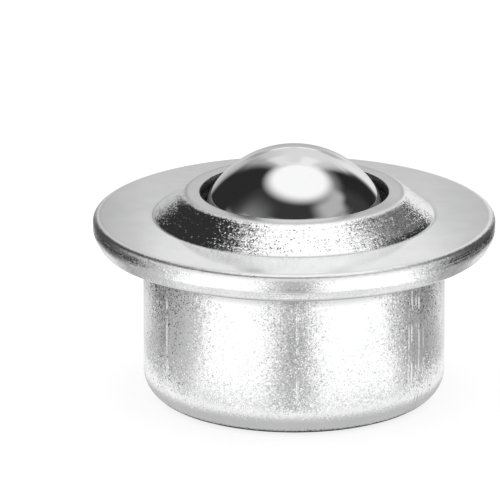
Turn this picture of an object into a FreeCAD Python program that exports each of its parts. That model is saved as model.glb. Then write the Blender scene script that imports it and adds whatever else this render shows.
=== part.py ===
import FreeCAD, Part
import math
import os

# Ball transfer unit: a load ball that rolls any way on small balls, in a pressed steel drop-in housing.
# Millimetres and degrees. The origin is on the axis, in the plane of the rolled flange's underside,
# which is the face that seats on a deck. +Z points at the load ball.

# Balls
load_ball_diameter = 15.875
support_ball_diameter = 2.381
support_ball_count = 54
rolling_clearance = 0.02
neighbour_gap = 0.02
row_gap = 0.08

# Rises: of the ball above the flange's underside, and of the lip above the flange's top
ball_rise = 8.0
lip_rise = 2.0

# Housing, deep drawn from sheet
housing_sheet = 0.8
base_bend = 2.3
mouth_bend = 0.5

# Hardened bearing cup
race_wall = 0.82
race_floor = 1.4
heel_bend = 8.0
bearing_cup_fit = 0.02

# Cover, pressed from sheet and rolled under the housing's flange
flange_diameter = 32.0
cover_sheet = 0.8
ball_to_lip_gap = 0.36
lip_width = 1.28
lip_bend = 1.0
cone_slope = 39.7
cone_foot_bend = 0.4
rim_top_bend = 0.45
rim_knee_height = 1.15
rim_knee_bend = 1.0
rim_tuck = 0.65
rim_foot_bend = 0.6
rim_clearance = 0.08
cup_to_hem_gap = 1.2

# Retaining ring
retainer_thickness = 0.6
retainer_setback = 0.1
ball_to_retainer_gap = 0.3
retainer_fit = 0.06

# Felt seal
ball_to_felt_gap = 0.05
cover_to_felt_gap = 0.05
lip_to_felt_setback = 0.1
felt_edge_height = 0.4

# Broken edges
sheet_edge = 0.12
turned_edge = 0.2

# Largest share of a straight run that the bend at one of its ends may take
bend_share = 0.45

# Places that follow from the sizes above
load_ball_radius = load_ball_diameter / 2
support_ball_radius = support_ball_diameter / 2
ball_height = ball_rise - load_ball_radius
support_circle_radius = load_ball_radius + rolling_clearance + support_ball_radius
raceway_radius = support_circle_radius + support_ball_radius + rolling_clearance
bearing_cup_radius = raceway_radius + race_wall
bearing_cup_bottom = ball_height - raceway_radius - race_floor
housing_bore_radius = bearing_cup_radius + bearing_cup_fit
cup_radius = housing_bore_radius + housing_sheet
base_height = bearing_cup_bottom - housing_sheet
housing_flange_bottom = cover_sheet
housing_flange_top = housing_flange_bottom + housing_sheet
flange_top = housing_flange_top + cover_sheet
retainer_top = housing_flange_top - retainer_setback
bearing_cup_rim = retainer_top - retainer_thickness
flange_radius = flange_diameter / 2
lip_top = flange_top + lip_rise
lip_bottom = lip_top - cover_sheet
lip_bore_radius = math.sqrt((load_ball_radius + ball_to_lip_gap) ** 2 - (lip_bottom - ball_height) ** 2)
cone_top_radius = lip_bore_radius + lip_width
cone_foot_radius = cone_top_radius + lip_rise / math.tan(math.radians(cone_slope))

UP = FreeCAD.Vector(0, 0, 1)
ON_AXIS = FreeCAD.Vector(0, 0, 0)
BALL_CENTRE = FreeCAD.Vector(0, 0, ball_height)


def way(start, end):
    """Unit direction from one corner of an outline to the next."""
    return FreeCAD.Vector(end[0] - start[0], end[1] - start[1], 0).normalize()


def beside(path, distance):
    """A path of (radius, height, bend) corners moved to its left, or to its right by a negative distance."""
    ways = [way(start, end) for start, end in zip(path, path[1:])]
    before_each = [ways[0]] + ways
    after_each = ways + [ways[-1]]
    moved = []
    for (radius, height, bend), before, after in zip(path, before_each, after_each):
        share = distance / (1 + before.dot(after))
        turn = before.cross(after).z
        if turn:
            bend = max(bend - math.copysign(distance, turn * distance), 0)
        aside = -(before.y + after.y) * share
        above = (before.x + after.x) * share
        moved.append((radius + aside, height + above, bend))
    return moved


def outline_face(corners):
    """Face beside the axis, bounded by straight runs with an arc at each (radius, height, bend) corner."""
    points = [FreeCAD.Vector(radius, 0, height) for radius, height, bend in corners]
    edges = []
    spans = []
    for index, point in enumerate(points):
        bend = corners[index][2]
        back = points[index - 1] - point
        ahead = points[(index + 1) % len(points)] - point
        if not bend:
            spans.append((point, point))
            continue
        half_angle = back.getAngle(ahead) / 2
        reach = min(bend / math.tan(half_angle), bend_share * min(back.Length, ahead.Length))
        bend = reach * math.tan(half_angle)
        back.normalize()
        ahead.normalize()
        inward = (back + ahead).normalize()
        middle = point + inward * (bend / math.sin(half_angle) - bend)
        spans.append((point + back * reach, point + ahead * reach))
        edges.append(Part.Arc(spans[-1][0], middle, spans[-1][1]).toShape())
    for index, span in enumerate(spans):
        run_end = spans[(index + 1) % len(spans)][0]
        edges.append(Part.LineSegment(span[1], run_end).toShape())
    return Part.Face(Part.Wire(Part.sortEdges(edges)[0]))


def turned(corners):
    """Solid turned about the axis from an outline of corners."""
    return outline_face(corners).revolve(ON_AXIS, UP, 360)


def sheet_metal(path, thickness):
    """Solid of sheet turned about the axis, between a path and the same path a sheet's thickness away."""
    return turned(path + beside(path, thickness)[::-1])


def ball(radius, centre):
    """Ball of a radius about a centre."""
    return Part.makeSphere(radius, centre)


def cover_path():
    """Outer side of the cover's sheet, from the lip's bore out over the flange and under the rim."""
    return [
        (lip_bore_radius, lip_top, sheet_edge),
        (cone_top_radius, lip_top, lip_bend),
        (cone_foot_radius, flange_top, cone_foot_bend),
        (flange_radius, flange_top, rim_top_bend),
        (flange_radius, rim_knee_height, rim_knee_bend),
        (flange_radius - rim_tuck, 0, rim_foot_bend),
        (cup_radius + cup_to_hem_gap, 0, sheet_edge),
    ]


def top_cover():
    """Cover with lip, cone, flat flange and rolled rim."""
    return sheet_metal(cover_path(), -cover_sheet)


def housing_cup():
    """Deep-drawn cup whose flange lies inside the cover's rolled rim."""
    rim_inside_radius = beside(cover_path(), -cover_sheet)[-2][0]
    path = [
        (0, base_height, 0),
        (cup_radius, base_height, base_bend),
        (cup_radius, housing_flange_bottom, mouth_bend),
        (rim_inside_radius - rim_clearance, housing_flange_bottom, turned_edge),
    ]
    return sheet_metal(path, housing_sheet)


def bearing_cup():
    """Hardened cup with a flat seat, a rounded heel and the spherical raceway."""
    blank = turned([
        (0, bearing_cup_bottom, 0),
        (bearing_cup_radius, bearing_cup_bottom, heel_bend),
        (bearing_cup_radius, bearing_cup_rim, turned_edge),
        (0, bearing_cup_rim, 0),
    ])
    mouth = Part.makeCylinder(raceway_radius, raceway_radius, BALL_CENTRE, UP)
    return blank.cut(ball(raceway_radius, BALL_CENTRE)).cut(mouth)


def ball_retainer():
    """Flat ring on the bearing cup's rim, too close to the load ball for a support ball to pass."""
    bore_radius = load_ball_radius + ball_to_retainer_gap
    outer_radius = housing_bore_radius - retainer_fit
    return turned([
        (bore_radius, bearing_cup_rim, sheet_edge),
        (outer_radius, bearing_cup_rim, sheet_edge),
        (outer_radius, retainer_top, sheet_edge),
        (bore_radius, retainer_top, sheet_edge),
    ])


def felt_seal():
    """Felt ring that fills the cover's cone from the retainer up, dished to the load ball."""
    under_cover = beside(cover_path(), -(cover_sheet + cover_to_felt_gap))
    top_radius, top_height, _ = under_cover[1]
    bore_radius = lip_bore_radius + lip_to_felt_setback
    edge_top = retainer_top + felt_edge_height
    outer_radius = top_radius + (top_height - edge_top) / math.tan(math.radians(cone_slope))
    ring = turned([
        (bore_radius, retainer_top, 0),
        (outer_radius, retainer_top, 0),
        (outer_radius, edge_top, 0),
        (top_radius, top_height, 0),
        (bore_radius, top_height, 0),
    ])
    return ring.cut(ball(load_ball_radius + ball_to_felt_gap, BALL_CENTRE))


def support_ball_places():
    """Centres of the support balls, in level rows that fill the raceway from its lowest point up."""
    pitch = support_ball_diameter + neighbour_gap
    row_tilt = math.asin((support_ball_diameter + row_gap) / support_circle_radius)
    places = [BALL_CENTRE - UP * support_circle_radius]
    tilt = row_tilt
    while len(places) < support_ball_count:
        row_radius = support_circle_radius * math.sin(tilt)
        row_height = ball_height - support_circle_radius * math.cos(tilt)
        room = math.floor(math.pi / math.asin(pitch / (2 * row_radius)))
        count = min(room, support_ball_count - len(places))
        for place in range(count):
            turn = 2 * math.pi * place / count
            centre = FreeCAD.Vector(row_radius * math.cos(turn), row_radius * math.sin(turn), row_height)
            places.append(centre)
        tilt += row_tilt
    return places


pieces = {
    "housing_cup": housing_cup(),
    "top_cover": top_cover(),
    "bearing_cup": bearing_cup(),
    "ball_retainer": ball_retainer(),
    "felt_seal": felt_seal(),
    "load_ball": ball(load_ball_radius, BALL_CENTRE),
}
for number, centre in enumerate(support_ball_places(), start=1):
    pieces[f"support_ball_{number:02d}"] = ball(support_ball_radius, centre)

os.makedirs("parts", exist_ok=True)
for node, solid in pieces.items():
    solid.exportStep(f"parts/{node}.step")
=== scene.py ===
import math

import bmesh
import bpy
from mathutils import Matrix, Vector


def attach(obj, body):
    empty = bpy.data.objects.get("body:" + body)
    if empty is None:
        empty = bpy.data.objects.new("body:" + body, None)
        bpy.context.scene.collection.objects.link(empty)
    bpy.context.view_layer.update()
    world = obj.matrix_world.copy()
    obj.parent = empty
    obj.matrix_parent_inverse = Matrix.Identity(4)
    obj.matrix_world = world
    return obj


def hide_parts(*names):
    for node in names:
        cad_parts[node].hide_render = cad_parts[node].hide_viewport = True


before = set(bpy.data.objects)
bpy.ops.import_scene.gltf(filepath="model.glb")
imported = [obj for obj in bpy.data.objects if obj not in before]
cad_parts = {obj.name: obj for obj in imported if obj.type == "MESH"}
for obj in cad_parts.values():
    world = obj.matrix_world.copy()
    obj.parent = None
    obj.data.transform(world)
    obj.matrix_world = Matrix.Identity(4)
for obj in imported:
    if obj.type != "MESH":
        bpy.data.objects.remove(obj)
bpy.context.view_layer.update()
scene = bpy.context.scene

# Sizes are in millimetres and angles in degrees, as the CAD has them. The origin is on the axis, in the plane
# of the flange's underside. The front is -Y, and azimuths count from it towards +X.
MM = 0.001
DEGREE = math.pi / 180
SHEET = 0.8
SHEET_EDGE = 0.12

# Load ball
BALL_RADIUS = 7.9375
BALL_HEIGHT = 0.0625

# Cover: lip, cone, flange and rolled rim
LIP_BORE_RADIUS = 7.5056
LIP_TOP = 4.4
LIP_BEND = 1.0
CONE_TOP_RADIUS = 8.7856
CONE_FOOT_RADIUS = 11.1946
CONE_FOOT_BEND = 0.4
FLANGE_RADIUS = 16.0
FLANGE_TOP = 2.4
RIM_TOP_BEND = 0.45
RIM_KNEE_HEIGHT = 1.15
RIM_KNEE_BEND = 1.0
RIM_TUCK = 0.65
RIM_FOOT_BEND = 0.6
HEM_BORE_RADIUS = 13.1985

# Cup, whose flange lies in the cover's rolled rim
CUP_RADIUS = 11.9985
BASE_HEIGHT = -12.496
BASE_BEND = 2.3
MOUTH_BEND = 0.5
HOUSING_FLANGE_RADIUS = 14.803
HOUSING_FLANGE_EDGE = 0.2

# Felt ring
FELT_BOTTOM = 1.5
FELT_EDGE_TOP = 1.9
FELT_TOP = 3.53
FELT_BORE_RADIUS = 7.606
FELT_TOP_RADIUS = 8.45
FELT_OUTER_RADIUS = 10.35
BALL_TO_FELT_GAP = 0.05
FELT_DISH_STEPS = 8

# Mesh fineness. The bend share is the largest part of a run that the bend at one of its ends may take, and
# where an outline turns by less than the sine in STRAIGHT, it has no corner.
TURN_STEPS = 288
BEND_SEGMENTS = 10
BEND_SHARE = 0.49
LONGEST_RUN = 0.3
BALL_SEGMENTS = 192
MERGE_DISTANCE = 0.0001
STRAIGHT = 1e-6


def way(start, end):
    """Unit direction from one corner of an outline to the next."""
    return Vector((end[0] - start[0], end[1] - start[1])).normalized()


def beside(path, distance):
    """A path of (radius, height, bend) corners moved to its left, or to its right by a negative distance."""
    ways = [way(start, end) for start, end in zip(path, path[1:])]
    moved = []
    for (radius, height, bend), before, after in zip(path, ways[:1] + ways, ways + ways[-1:]):
        share = distance / (1 + before.dot(after))
        turn = before.cross(after)
        if abs(turn) > STRAIGHT:
            bend = max(bend - math.copysign(distance, turn * distance), 0)
        moved.append((radius - (before.y + after.y) * share, height + (before.x + after.x) * share, bend))
    return moved


def turned(name, outline, closed=True):
    """Piece spun about the axis from an outline of (radius, height, bend) corners."""
    shape = bmesh.new()
    points = [shape.verts.new((radius * MM, 0, height * MM)) for radius, height, bend in outline]
    for start, end in zip(points, points[1:] + points[:1] if closed else points[1:]):
        shape.edges.new((start, end))
    for point, (radius, height, bend) in zip(points, outline):
        if not bend:
            continue
        runs = [edge.other_vert(point).co - point.co for edge in point.link_edges]
        half_angle = runs[0].angle(runs[1]) / 2
        reach = min(bend * MM / math.tan(half_angle), BEND_SHARE * min(run.length for run in runs))
        bmesh.ops.bevel(
            shape, geom=[point], offset=reach, offset_type="OFFSET", affect="VERTICES",
            segments=BEND_SEGMENTS, profile=0.5, material=-1,
        )
    for edge in list(shape.edges):
        cuts = int(edge.calc_length() / (LONGEST_RUN * MM))
        if cuts:
            bmesh.ops.subdivide_edges(shape, edges=[edge], cuts=cuts)
    bmesh.ops.spin(
        shape, geom=shape.verts[:] + shape.edges[:], cent=(0, 0, 0), axis=(0, 0, 1),
        angle=2 * math.pi, steps=TURN_STEPS, use_merge=True,
    )
    return finished(name, shape)


def finished(name, shape):
    """Object with a closed, smooth mesh whose faces point outwards."""
    bmesh.ops.remove_doubles(shape, verts=shape.verts, dist=MERGE_DISTANCE * MM)
    bmesh.ops.recalc_face_normals(shape, faces=shape.faces)
    for face in shape.faces:
        face.smooth = True
    mesh = bpy.data.meshes.new(name)
    shape.to_mesh(mesh)
    shape.free()
    piece = bpy.data.objects.new(name, mesh)
    scene.collection.objects.link(piece)
    return piece


def fit_out(piece, node, body, material):
    """Puts a piece in the place of its CAD node, on its body, with its finish."""
    piece.data.materials.append(material)
    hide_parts(node)
    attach(piece, body)


# Pieces

def pressed_cover():
    """Cover with lip, cone, flat flange and a rim rolled under."""
    path = [
        (LIP_BORE_RADIUS, LIP_TOP, SHEET_EDGE),
        (CONE_TOP_RADIUS, LIP_TOP, LIP_BEND),
        (CONE_FOOT_RADIUS, FLANGE_TOP, CONE_FOOT_BEND),
        (FLANGE_RADIUS, FLANGE_TOP, RIM_TOP_BEND),
        (FLANGE_RADIUS, RIM_KNEE_HEIGHT, RIM_KNEE_BEND),
        (FLANGE_RADIUS - RIM_TUCK, 0, RIM_FOOT_BEND),
        (HEM_BORE_RADIUS, 0, SHEET_EDGE),
    ]
    return turned("pressed_cover", path + beside(path, -SHEET)[::-1])


def drawn_cup():
    """Deep-drawn cup with a flat base and a flange at its mouth."""
    path = [
        (0, BASE_HEIGHT, 0),
        (CUP_RADIUS, BASE_HEIGHT, BASE_BEND),
        (CUP_RADIUS, SHEET, MOUTH_BEND),
        (HOUSING_FLANGE_RADIUS, SHEET, HOUSING_FLANGE_EDGE),
    ]
    return turned("drawn_cup", path + beside(path, SHEET)[::-1], closed=False)


def rolling_ball():
    """Load ball."""
    shape = bmesh.new()
    bmesh.ops.create_uvsphere(
        shape, u_segments=BALL_SEGMENTS, v_segments=BALL_SEGMENTS // 2, radius=BALL_RADIUS * MM
    )
    bmesh.ops.translate(shape, verts=shape.verts, vec=(0, 0, BALL_HEIGHT * MM))
    return finished("rolling_ball", shape)


def felt_wiper():
    """Felt ring under the cone, dished to the load ball."""
    reach = BALL_RADIUS + BALL_TO_FELT_GAP
    path = []
    for step in range(FELT_DISH_STEPS + 1):
        height = FELT_BOTTOM + (FELT_TOP - FELT_BOTTOM) * step / FELT_DISH_STEPS
        dish_radius = math.sqrt(reach ** 2 - (height - BALL_HEIGHT) ** 2)
        path.append((max(dish_radius, FELT_BORE_RADIUS), height, 0))
    path += [
        (FELT_TOP_RADIUS, FELT_TOP, 0),
        (FELT_OUTER_RADIUS, FELT_EDGE_TOP, 0),
        (FELT_OUTER_RADIUS, FELT_BOTTOM, 0),
    ]
    return turned("felt_wiper", path)


# Materials

class Nodes:
    """Node tree under construction."""

    def __init__(self, tree):
        tree.nodes.clear()
        self.tree = tree

    def add(self, kind, inputs=(), **settings):
        """Node of a kind, with its settings and its inputs given by name or number."""
        node = self.tree.nodes.new(kind)
        for name, value in settings.items():
            setattr(node, name, value)
        for name, value in dict(inputs).items():
            self.feed(node.inputs[name], value)
        return node

    def feed(self, socket, value):
        """Links an output to a socket, or sets the socket's own value."""
        if isinstance(value, bpy.types.NodeSocket):
            self.tree.links.new(value, socket)
        else:
            socket.default_value = value

    def math(self, operation, *values):
        """Result of a sum on one to three values."""
        return self.add("ShaderNodeMath", enumerate(values), operation=operation).outputs[0]

    def vector(self, operation, *values, **named):
        """Result of a sum on vectors, with any further input given by name."""
        inputs = {**dict(enumerate(values)), **named}
        return self.add("ShaderNodeVectorMath", inputs, operation=operation).outputs[0]

    def ramp(self, value, start, end, low=0.0, high=1.0):
        """Value taken smoothly from low at start to high at end."""
        return self.add("ShaderNodeMapRange", {
            "Value": value, "From Min": start, "From Max": end, "To Min": low, "To Max": high,
        }, interpolation_type="SMOOTHSTEP").outputs["Result"]

    def parts(self, vector):
        """The three parts of a vector."""
        return self.add("ShaderNodeSeparateXYZ", {"Vector": vector}).outputs

    def across(self, x, y):
        """Distance from the axis."""
        return self.math("SQRT", self.math("MULTIPLY_ADD", x, x, self.math("MULTIPLY", y, y)))

    def bearing(self, x, y):
        """Azimuth from the front, in radians."""
        return self.math("ARCTAN2", x, self.math("MULTIPLY", y, -1.0))

    def away(self, value, middle):
        """How far a value is from a middle, either way."""
        return self.math("ABSOLUTE", self.math("SUBTRACT", value, middle))

    def scaled(self, place, *scales):
        """Place drawn out or pressed together along each axis."""
        return self.add("ShaderNodeMapping", {"Vector": place, "Scale": scales}).outputs[0]

    def noise(self, place, scale, detail=2.0, roughness=0.5):
        """Noise at a place, from 0 to 1."""
        return self.add("ShaderNodeTexNoise", {
            "Vector": place, "Scale": scale, "Detail": detail, "Roughness": roughness,
        }).outputs[0]

    def blend(self, share, first, second):
        """Colour that goes from a first to a second one as the share goes from 0 to 1."""
        mix = self.add("ShaderNodeMix", {"Factor": share}, data_type="RGBA")
        self.feed(mix.inputs[6], first)
        self.feed(mix.inputs[7], second)
        return mix.outputs[2]

    def bump(self, height, distance, normal=None):
        """Normal bent by a height of 0 to 1, for a relief of that distance in millimetres."""
        inputs = {"Height": height, "Distance": distance * MM}
        if normal:
            inputs["Normal"] = normal
        return self.add("ShaderNodeBump", inputs).outputs[0]


def grey(level):
    """Colour with no hue."""
    return (level, level, level, 1)


def new_material(name):
    """Material, its nodes, its shader and a place in millimetres on the piece."""
    material = bpy.data.materials.new(name)
    material.use_nodes = True
    nodes = Nodes(material.node_tree)
    shader = nodes.add("ShaderNodeBsdfPrincipled")
    nodes.add("ShaderNodeOutputMaterial", {"Surface": shader.outputs[0]})
    coordinates = nodes.add("ShaderNodeTexCoord")
    place = nodes.scaled(coordinates.outputs["Object"], 1 / MM, 1 / MM, 1 / MM)
    return material, nodes, shader, place


def new_metal(name, colour=None):
    """Metal material, its nodes, its shader and a place in millimetres on the piece."""
    material, nodes, shader, place = new_material(name)
    shader.inputs["Metallic"].default_value = 1.0
    if colour:
        shader.inputs["Base Color"].default_value = colour
    return material, nodes, shader, place


# Grains in the zinc plate: how many to a millimetre, and how far the steepest one leans on each pressing.
# Between the two limits of the normal's upright part, grainy plate turns to flats with few grains left.
GRAINS = 11.0
CUP_GRAIN_TILT = 0.54
RIM_GRAIN_TILT = 0.34
CONE_GRAIN_TILT = 0.45
GRAINY_LIMIT = 0.94
FLAT_LIMIT = 0.995
GRAINS_LEFT_ON_FLATS = 0.04

# Lines that the drawing die left down the cup: their azimuths, with depths as shares of the relief. Their
# width to each side is in degrees too, and the relief is in millimetres.
DIE_LINES = {
    -57.0: 0.12, 1.2: 0.03, 48.9: 0.04, 50.6: 0.09, 53.2: 0.06, 55.1: 0.1, 58.4: 0.05, 104.0: 0.06,
    151.0: 0.05, -96.0: 0.05, -139.0: 0.06,
}
DIE_LINE_WIDTH = 0.6
DIE_LINE_RELIEF = 0.7

# Depths in millimetres of the other relief in the finishes
CLOUD_RELIEF = 0.02
DRAWN_LINE_RELIEF = 0.006
RING_RELIEF = 0.02
TURNING_RELIEF = 0.004
FELT_RELIEF = 0.08

# Frosted patch on the cone: the azimuth of its middle, how far it reaches each way, and the share of that
# reach from which it fades
FROST_MIDDLE = 56.0
FROST_REACH = 24.0
FROST_CORE = 0.3

# Worn edge between the flange's top and the rim: how far it reaches inwards and down, and its soft start
WORN_REACH = 0.55
WORN_START = 0.15

# Painted shade on the plate, from 0 to 1, in the places that are named: under the rim at its foot, on the
# bore's edge by the ball, in the cone's foot, on the lip's top, and at the cup's mouth under the rim
RIM_FOOT_PAINTED_SHADE = 0.5
BORE_PAINTED_SHADE = 0.75
CONE_FOOT_PAINTED_SHADE = 0.3
LIP_PAINTED_SHADE = 0.3
MOUTH_PAINTED_SHADE = 0.3

# Colours of the plate and the near-black of its painted shade, and roughness: of grainy plate and of flats,
# and what full painted shade or frost adds
PALE_ZINC = grey(0.93)
GREY_ZINC = (0.88, 0.883, 0.885, 1)
PAINTED_SHADE_COLOUR = grey(0.05)
GRAINY_ROUGHNESS = 0.09
FLAT_ROUGHNESS = 0.15
PAINTED_SHADE_ROUGHNESS = 0.3
FROST_ROUGHNESS = 0.25


def grain_facets(nodes, place, normal, grainy, steepest):
    """Normal of the crystal grain at a place, each grain leaning its own way."""
    grain = nodes.add("ShaderNodeTexVoronoi", {"Vector": place, "Scale": GRAINS}).outputs
    chance = nodes.add("ShaderNodeTexWhiteNoise", {"Vector": grain["Position"]}).outputs["Value"]
    patches = nodes.ramp(nodes.noise(place, 0.8), 0.35, 0.65, 0.6, 1.0)
    tilt = nodes.math("MULTIPLY", chance, steepest)
    tilt = nodes.math("MULTIPLY", tilt, nodes.math("MULTIPLY", grainy, patches))
    lean = nodes.vector("SUBTRACT", grain["Color"], (0.5, 0.5, 0.5))
    lean = nodes.vector("SCALE", lean, Scale=tilt)
    return nodes.vector("NORMALIZE", nodes.vector("ADD", normal, lean))


def die_marks(nodes, place, height, azimuth, relief):
    """Relief with the fine lines of drawing down the cup, and the broken grooves of the die over them."""
    lines = nodes.noise(nodes.scaled(place, 1, 1, 0.03), 7.0, 2.0, 0.6)
    lines = nodes.math("MULTIPLY", lines, nodes.ramp(height, -7.0, -1.5, 0.5, 1.0))
    relief = nodes.bump(lines, DRAWN_LINE_RELIEF, relief)
    groove = 0.0
    for line, depth in DIE_LINES.items():
        mark = nodes.ramp(nodes.away(azimuth, line), 0.0, DIE_LINE_WIDTH, depth, 0.0)
        groove = nodes.math("ADD", mark, groove)
    broken = nodes.ramp(nodes.noise(place, 0.7, 3.0), 0.38, 0.62)
    return nodes.bump(nodes.math("MULTIPLY", groove, broken), -DIE_LINE_RELIEF, relief)


def cover_painted_shade(nodes, radius, height):
    """Painted shade at the rim's foot, on the sheared edge of the lip's bore, at the cone's foot and on the
    lip.
    """
    painted_shade = nodes.ramp(height, 0.05, 0.45, RIM_FOOT_PAINTED_SHADE, 0.0)
    sheared = nodes.ramp(radius, LIP_BORE_RADIUS + 0.02, LIP_BORE_RADIUS + 0.09, BORE_PAINTED_SHADE, 0.0)
    foot = nodes.ramp(nodes.away(radius, CONE_FOOT_RADIUS), 0.05, 0.14, CONE_FOOT_PAINTED_SHADE, 0.0)
    lip = nodes.ramp(height, LIP_TOP - 0.1, LIP_TOP, 0.0, LIP_PAINTED_SHADE)
    for more_shade in (sheared, foot, lip):
        painted_shade = nodes.math("MAXIMUM", painted_shade, more_shade)
    return painted_shade


def cover_frost(nodes, radius, height, azimuth):
    """Frosting in one patch of the cone and along the worn edge."""
    off = nodes.away(azimuth, FROST_MIDDLE)
    frost = nodes.ramp(off, FROST_REACH * FROST_CORE, FROST_REACH, 1.0, 0.0)
    frost = nodes.math("MULTIPLY", frost, nodes.ramp(height, FLANGE_TOP + 0.1, FLANGE_TOP + 0.5))
    side = FLANGE_RADIUS - WORN_REACH
    bottom = FLANGE_TOP - WORN_REACH
    outwards = nodes.ramp(radius, side, side + WORN_START)
    upwards = nodes.ramp(height, bottom, bottom + WORN_START)
    return nodes.math("MAXIMUM", frost, nodes.math("MULTIPLY", outwards, upwards))


def zinc_plate(name, drawn):
    """Bright zinc plate on pressed sheet: smooth on its flats, with sparkling grains elsewhere, and painted
    shade darkening it in named places.
    """
    material, nodes, shader, place = new_metal(name)
    x, y, height = nodes.parts(place)
    azimuth = nodes.math("DIVIDE", nodes.bearing(x, y), DEGREE)
    normal = nodes.add("ShaderNodeNewGeometry").outputs["Normal"]
    upright = nodes.math("ABSOLUTE", nodes.parts(normal)["Z"])
    grainy = nodes.ramp(upright, GRAINY_LIMIT, FLAT_LIMIT, 1.0, GRAINS_LEFT_ON_FLATS)
    cloud = nodes.noise(place, 0.45, 3.0, 0.55)
    steepest = CUP_GRAIN_TILT
    if not drawn:
        steepest = nodes.ramp(height, FLANGE_TOP, FLANGE_TOP + 0.3, RIM_GRAIN_TILT, CONE_GRAIN_TILT)
    facets = grain_facets(nodes, place, normal, grainy, steepest)
    relief = nodes.bump(nodes.math("MULTIPLY", cloud, grainy), CLOUD_RELIEF, facets)
    if drawn:
        relief = die_marks(nodes, place, height, azimuth, relief)
        # Painted shade at the top of the cup, just under the rim, darker and rougher towards the mouth
        painted_shade = nodes.ramp(height, -1.7, -1.0, 0.0, MOUTH_PAINTED_SHADE)
        frost = 0.0
    else:
        radius = nodes.across(x, y)
        rings = nodes.noise(nodes.scaled(place, 0.02, 0.02, 1), 6.0)
        relief = nodes.bump(rings, RING_RELIEF, relief)
        painted_shade = cover_painted_shade(nodes, radius, height)
        frost = cover_frost(nodes, radius, height, azimuth)
    plate = nodes.blend(nodes.ramp(cloud, 0.3, 0.7), GREY_ZINC, PALE_ZINC)
    # Painted shade: the plate's colour goes towards near-black where the shade mask is
    nodes.feed(shader.inputs["Base Color"], nodes.blend(painted_shade, plate, PAINTED_SHADE_COLOUR))
    satin = nodes.ramp(grainy, GRAINS_LEFT_ON_FLATS, 1.0, FLAT_ROUGHNESS, GRAINY_ROUGHNESS)
    satin = nodes.math("MULTIPLY_ADD", frost, FROST_ROUGHNESS, satin)
    nodes.feed(shader.inputs["Roughness"], nodes.math("MULTIPLY_ADD", painted_shade, PAINTED_SHADE_ROUGHNESS, satin))
    nodes.feed(shader.inputs["Normal"], relief)
    return material


def ball_steel(name, colour):
    """Ground and polished bearing steel, with the faintest marks of rolling."""
    material, nodes, shader, place = new_metal(name, colour)
    marks = nodes.noise(place, 3.0, 5.0, 0.7)
    nodes.feed(shader.inputs["Roughness"], nodes.ramp(marks, 0.45, 0.8, 0.05, 0.08))
    return material


def turned_steel(name, colour, roughness):
    """Plain steel with fine turning rings about the axis."""
    material, nodes, shader, place = new_metal(name, colour)
    rings = nodes.add("ShaderNodeTexWave", {
        "Vector": place, "Scale": 2.0, "Distortion": 0.6, "Detail": 2.0,
    }, wave_type="RINGS", rings_direction="Z").outputs[1]
    stains = nodes.ramp(nodes.noise(place, 1.5), 0.3, 0.7, roughness, roughness + 0.12)
    nodes.feed(shader.inputs["Roughness"], stains)
    nodes.feed(shader.inputs["Normal"], nodes.bump(rings, TURNING_RELIEF))
    return material


def wool_felt():
    """Dense grey wool felt, oiled, with short matted fibres."""
    material, nodes, shader, place = new_material("wool_felt")
    fibres = nodes.noise(place, 5.0, 8.0, 0.75)
    tint = nodes.blend(nodes.ramp(fibres, 0.3, 0.7), grey(0.006), grey(0.02))
    nodes.feed(shader.inputs["Base Color"], tint)
    nodes.feed(shader.inputs["Roughness"], nodes.ramp(fibres, 0.2, 0.8, 0.85, 1.0))
    shader.inputs["Sheen Weight"].default_value = 0.2
    nodes.feed(shader.inputs["Normal"], nodes.bump(fibres, FELT_RELIEF))
    return material


# Studio

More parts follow.
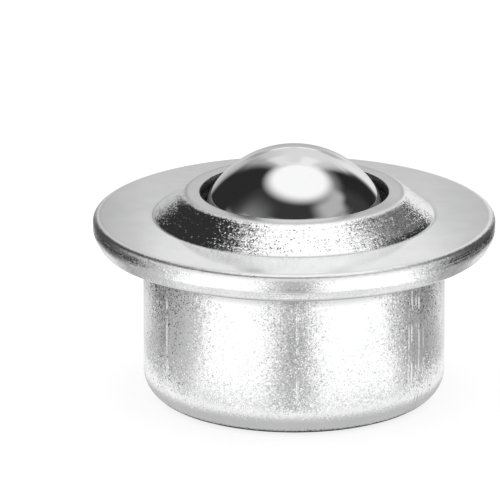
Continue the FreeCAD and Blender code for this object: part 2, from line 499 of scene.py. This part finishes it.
# Panels of the studio that bright metal mirrors: the azimuth of the middle and the half width, the lowest
# and highest elevation, the soft edges across and upwards, and the brightness. Each lies over those before
# it, and those below the horizon are seen on the floor.
PANELS = (
    # Pale all round, and the bright front
    (0, 200, -95, 24, 5, 5, 0.582),
    (0, 36, 10, 42, 14, 3, 0.864),
    # Dark screens behind at the left and the right, under a grey one high at the right
    (-125, 25.5, 0, 70, 7, 4.5, 0.027),
    (98, 57, 34, 56.6, 16, 7, 0.509),
    (124, 22.7, 0, 51.4, 9, 12, 0.023),
    (101, 14.4, 0, 41.6, 9, 4, 0.049),
    # The light back wall and its edges
    (173.5, 28, -70, 58.3, 7, 2.5, 0.664),
    (171.7, 16, -12, 53.7, 7.5, 4.7, 0.818),
    (152, 6, -8, 30, 4, 6, 0.909),
    (-155.3, 2.2, -12, 58.9, 10, 5, 0.527),
    (-168, 8, 38, 56, 5, 5, 0.88),
    (166, 7, 41, 56, 4, 4, 0.98),
    (180, 10.4, -20, 20.3, 6.8, 12, 0.509),
    # A grey screen at the left, and the low bright band round the front
    (-62, 20, 19.6, 47.6, 16, 16, 0.233),
    (0, 76, 8, 33, 8, 3, 0.891),
    # The strip of the back wall that the flange's top mirrors, from its middle out to its ends
    (180, 14, 14, 24, 5, 2, 0.582),
    (178, 11.5, 20.2, 24, 1.5, 1.6, 1.018),
    (-164.5, 3.5, 14, 24, 2.5, 2, 0.4),
    (165, 4.5, 14, 24, 2.5, 2, 0.52),
    (180, 0.8, 20.4, 24, 2, 1.8, 0.655),
    # Dark beside the horizon at both sides, and lighter on the floor below it
    (115, 31, -15.5, 3, 12, 2, 0.03),
    (-115, 31, -15.5, 3, 12, 2, 0.03),
    (103, 15, -21.5, -14, 12, 3, 0.273),
    (-108, 14, -21.5, -14, 12, 3, 0.182),
    (100, 20, -31, -20, 12, 3, 0.455),
    (-100, 18, -31, -20, 12, 3, 0.527),
    (180, 60, -40, -20, 10, 3, 0.836),
    # Bright floor in front at the left and the right, parted by a grey strip
    (39, 28, -31, 12, 8, 3, 1.136),
    (-38, 25, -31, 12, 9, 3, 1.136),
    (0, 4.5, -31, 10, 3.5, 3, 0.5),
    (0, 4.5, -22, -17.5, 3.5, 1.5, 0.34),
    # Narrow grey strips on the floor at both sides
    (84, 3.5, -31, -14, 3, 3, 0.364),
    (97, 3.5, -31, -14, 3, 3, 0.318),
    (-84, 3.5, -31, -14, 3, 3, 0.455),
    (-98, 3.5, -31, -14, 3, 3, 0.318),
    # Rings on the floor round the cup's foot, and the floor under the base, whose dark ring at the base's
    # edge is a painted contact shadow for bright metal to mirror
    (0, 200, -95, -33.5, 5, 2, 0.982),
    (0, 200, -95, -42, 5, 4, 0.545),
    (0, 200, -95, -49.2, 5, 0.6, 0.055),
    (0, 200, -95, -60, 5, 7, 0.5),
)

# Brightness where no panel is, and of the round window overhead. The window's middle is aside and behind, and
# its soft edge goes from the inner to the outer radius, all as shares of its height above the object. The
# least height, as a share of the distance from the axis, is for places at the horizon and below.
ROOM = 0.041
WINDOW = 1.14
WINDOW_ASIDE = 0.1
WINDOW_BEHIND = 0.125
WINDOW_INNER_RADIUS = 0.385
WINDOW_OUTER_RADIUS = 0.7
LEAST_HEIGHT = 0.05

# Even light to floor and cloth, and the lamp for the shadow, in watts and metres
DAYLIGHT = 0.6
LAMP_WATTS = 0.35
LAMP_SIZE = 0.25
LAMP_HEIGHT = 0.3

# Floor and round screen, in metres. The screen fades out between two heights, and the floor is a little below
# the base, by a gap in millimetres.
FLOOR_SIZE = 4.0
FLOOR_GAP = 0.004
FLOOR_HEIGHT = (BASE_HEIGHT - FLOOR_GAP) * MM
FLOOR_MATT = grey(0.33)
FLOOR_GLOW = 0.8
SCREEN_RADIUS = 0.075
SCREEN_HEIGHT = 0.06
SCREEN_SEGMENTS = 96
SCREEN_FADE_START = 0.034
SCREEN_FADE_END = 0.058


def studio_light(nodes, place):
    """Brightness of the studio at a place round the object, or in a direction."""
    x, y, z = nodes.parts(place)
    across = nodes.across(x, y)
    azimuth = nodes.bearing(x, y)
    elevation = nodes.math("DIVIDE", nodes.math("ARCTAN2", z, across), DEGREE)
    light = ROOM
    for middle, half_width, low, high, soft, soft_up, level in PANELS:
        off = nodes.math("SUBTRACT", azimuth, middle * DEGREE)
        off = nodes.math("DIVIDE", nodes.math("ARCCOSINE", nodes.math("COSINE", off)), DEGREE)
        mask = nodes.ramp(off, half_width - soft, half_width + soft, 1.0, 0.0)
        mask = nodes.math("MULTIPLY", mask, nodes.ramp(elevation, low - soft_up, low + soft_up))
        mask = nodes.math("MULTIPLY", mask, nodes.ramp(elevation, high - soft_up, high + soft_up, 1.0, 0.0))
        light = nodes.math("MULTIPLY_ADD", mask, nodes.math("SUBTRACT", level, light), light)
    height = nodes.math("MAXIMUM", z, nodes.math("MULTIPLY", across, LEAST_HEIGHT))
    aside = nodes.math("SUBTRACT", nodes.math("DIVIDE", x, height), WINDOW_ASIDE)
    behind = nodes.math("SUBTRACT", nodes.math("DIVIDE", y, height), WINDOW_BEHIND)
    mask = nodes.ramp(nodes.across(aside, behind), WINDOW_INNER_RADIUS, WINDOW_OUTER_RADIUS, 1.0, 0.0)
    return nodes.math("MULTIPLY_ADD", mask, nodes.math("SUBTRACT", WINDOW, light), light)


def studio_world():
    """White to the camera, even light to cloth and floor, and a soft studio of panels to bright metal."""
    world = bpy.data.worlds.new("studio")
    world.use_nodes = True
    scene.world = world
    nodes = Nodes(world.node_tree)
    direction = nodes.add("ShaderNodeTexCoord").outputs["Generated"]
    rays = nodes.add("ShaderNodeLightPath").outputs
    plain_strength = nodes.ramp(rays["Is Camera Ray"], 0.0, 1.0, DAYLIGHT, 1.0)
    studio_strength = studio_light(nodes, direction)
    plain = nodes.add("ShaderNodeBackground", {"Color": grey(1), "Strength": plain_strength})
    studio = nodes.add("ShaderNodeBackground", {"Color": grey(1), "Strength": studio_strength})
    mixed = nodes.add("ShaderNodeMixShader", {
        0: rays["Is Glossy Ray"], 1: plain.outputs[0], 2: studio.outputs[0],
    })
    nodes.add("ShaderNodeOutputWorld", {"Surface": mixed.outputs[0]})


def staged(name, shape, material):
    """Part of the studio from its shape."""
    mesh = bpy.data.meshes.new(name)
    shape.to_mesh(mesh)
    shape.free()
    mesh.materials.append(material)
    stage_object = bpy.data.objects.new(name, mesh)
    scene.collection.objects.link(stage_object)
    return stage_object


def floor_finish():
    """White that keeps the shadow, mirrored as the studio's panels, and clear from below."""
    material = bpy.data.materials.new("white_floor")
    material.use_nodes = True
    nodes = Nodes(material.node_tree)
    rays = nodes.add("ShaderNodeLightPath").outputs
    place = nodes.add("ShaderNodeTexCoord").outputs["Object"]
    matt = nodes.add("ShaderNodeBsdfDiffuse", {"Color": FLOOR_MATT})
    glow_strength = nodes.math("MULTIPLY", rays["Is Camera Ray"], FLOOR_GLOW)
    glow = nodes.add("ShaderNodeEmission", {"Strength": glow_strength})
    both = nodes.add("ShaderNodeAddShader", {0: matt.outputs[0], 1: glow.outputs[0]})
    mirrored = nodes.add("ShaderNodeEmission", {"Strength": studio_light(nodes, place)})
    seen = nodes.add("ShaderNodeMixShader", {
        0: rays["Is Glossy Ray"], 1: both.outputs[0], 2: mirrored.outputs[0],
    })
    clear = nodes.add("ShaderNodeBsdfTransparent")
    below = nodes.add("ShaderNodeNewGeometry").outputs["Backfacing"]
    mixed = nodes.add("ShaderNodeMixShader", {0: below, 1: seen.outputs[0], 2: clear.outputs[0]})
    nodes.add("ShaderNodeOutputMaterial", {"Surface": mixed.outputs[0]})
    return material


def studio_floor():
    """White floor, open to a camera below it."""
    shape = bmesh.new()
    bmesh.ops.create_grid(shape, x_segments=1, y_segments=1, size=FLOOR_SIZE / 2)
    bmesh.ops.translate(shape, verts=shape.verts, vec=(0, 0, FLOOR_HEIGHT))
    staged("studio_floor", shape, floor_finish())


def screen_finish():
    """Light of the studio's panels, which fades out towards the screen's top."""
    material = bpy.data.materials.new("light_screen")
    material.use_nodes = True
    nodes = Nodes(material.node_tree)
    place = nodes.add("ShaderNodeTexCoord").outputs["Object"]
    lit = nodes.add("ShaderNodeEmission", {"Strength": studio_light(nodes, place)})
    clear = nodes.add("ShaderNodeBsdfTransparent")
    fade = nodes.ramp(nodes.parts(place)["Z"], SCREEN_FADE_START, SCREEN_FADE_END)
    mixed = nodes.add("ShaderNodeMixShader", {0: fade, 1: lit.outputs[0], 2: clear.outputs[0]})
    nodes.add("ShaderNodeOutputMaterial", {"Surface": mixed.outputs[0]})
    return material


def studio_screen():
    """Round screen near the object, which bright metal mirrors and nothing else sees."""
    shape = bmesh.new()
    bmesh.ops.create_circle(shape, segments=SCREEN_SEGMENTS, radius=SCREEN_RADIUS)
    bmesh.ops.translate(shape, verts=shape.verts, vec=(0, 0, FLOOR_HEIGHT))
    sides = bmesh.ops.extrude_edge_only(shape, edges=shape.edges[:])["geom"]
    top = [part for part in sides if isinstance(part, bmesh.types.BMVert)]
    bmesh.ops.translate(shape, verts=top, vec=(0, 0, SCREEN_HEIGHT))
    screen = staged("studio_screen", shape, screen_finish())
    for ray in ("camera", "diffuse", "shadow", "transmission", "volume_scatter"):
        setattr(screen, "visible_" + ray, False)


def overhead_lamp():
    """Large soft lamp above, for the shadow."""
    lamp = bpy.data.lights.new("overhead_lamp", "AREA")
    lamp.energy = LAMP_WATTS
    lamp.size = LAMP_SIZE
    holder = bpy.data.objects.new("overhead_lamp", lamp)
    holder.location = (0, 0, LAMP_HEIGHT)
    holder.visible_glossy = False
    scene.collection.objects.link(holder)


# Camera: its distance, its elevation and its lens, and how far the picture's centre is aside of and above the
# flange's centre, with the range that it sees in metres
CAMERA_DISTANCE = 1100.0
CAMERA_ELEVATION = 17.685
CAMERA_LENS = 996.04
SENSOR_WIDTH = 36.0
CENTRE_ASIDE = -3.508
CENTRE_ABOVE = -2.802
NEAREST_SEEN = 0.01
FARTHEST_SEEN = 10.0


def photo_camera():
    """Camera at the photograph's angle."""
    tilt = CAMERA_ELEVATION * DEGREE
    ahead = Vector((0, math.cos(tilt), -math.sin(tilt)))
    above = Vector((0, math.sin(tilt), math.cos(tilt)))
    centre = Vector((CENTRE_ASIDE, 0, FLANGE_TOP)) + above * CENTRE_ABOVE
    camera = bpy.data.cameras.new("photo_camera")
    camera.lens = CAMERA_LENS
    camera.sensor_width = SENSOR_WIDTH
    camera.clip_start = NEAREST_SEEN
    camera.clip_end = FARTHEST_SEEN
    holder = bpy.data.objects.new("photo_camera", camera)
    holder.location = (centre - ahead * CAMERA_DISTANCE) * MM
    holder.rotation_euler = (math.pi / 2 - tilt, 0, 0)
    scene.collection.objects.link(holder)
    scene.camera = holder


plated_cover = zinc_plate("zinc_plate_on_cover", drawn=False)
plated_cup = zinc_plate("zinc_plate_on_cup", drawn=True)
polished_ball = ball_steel("polished_ball", (0.825, 0.825, 0.83, 1))
fit_out(pressed_cover(), "top_cover", "housing", plated_cover)
fit_out(drawn_cup(), "housing_cup", "housing", plated_cup)
fit_out(felt_wiper(), "felt_seal", "housing", wool_felt())
fit_out(rolling_ball(), "load_ball", "load_ball", polished_ball)

# Finishes of the CAD's own solids that still show: the support balls, and the two below
small_ball_steel = ball_steel("small_ball_steel", (0.62, 0.62, 0.63, 1))
finishes = {
    "bearing_cup": turned_steel("hardened_raceway_steel", (0.4, 0.4, 0.41, 1), 0.3),
    "ball_retainer": turned_steel("stamped_ring_steel", (0.5, 0.5, 0.51, 1), 0.35),
}
for node, cad_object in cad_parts.items():
    if not cad_object.hide_render:
        cad_object.data.materials.clear()
        cad_object.data.materials.append(finishes.get(node, small_ball_steel))

studio_world()
studio_floor()
studio_screen()
overhead_lamp()
photo_camera()

scene.view_settings.view_transform = "Standard"
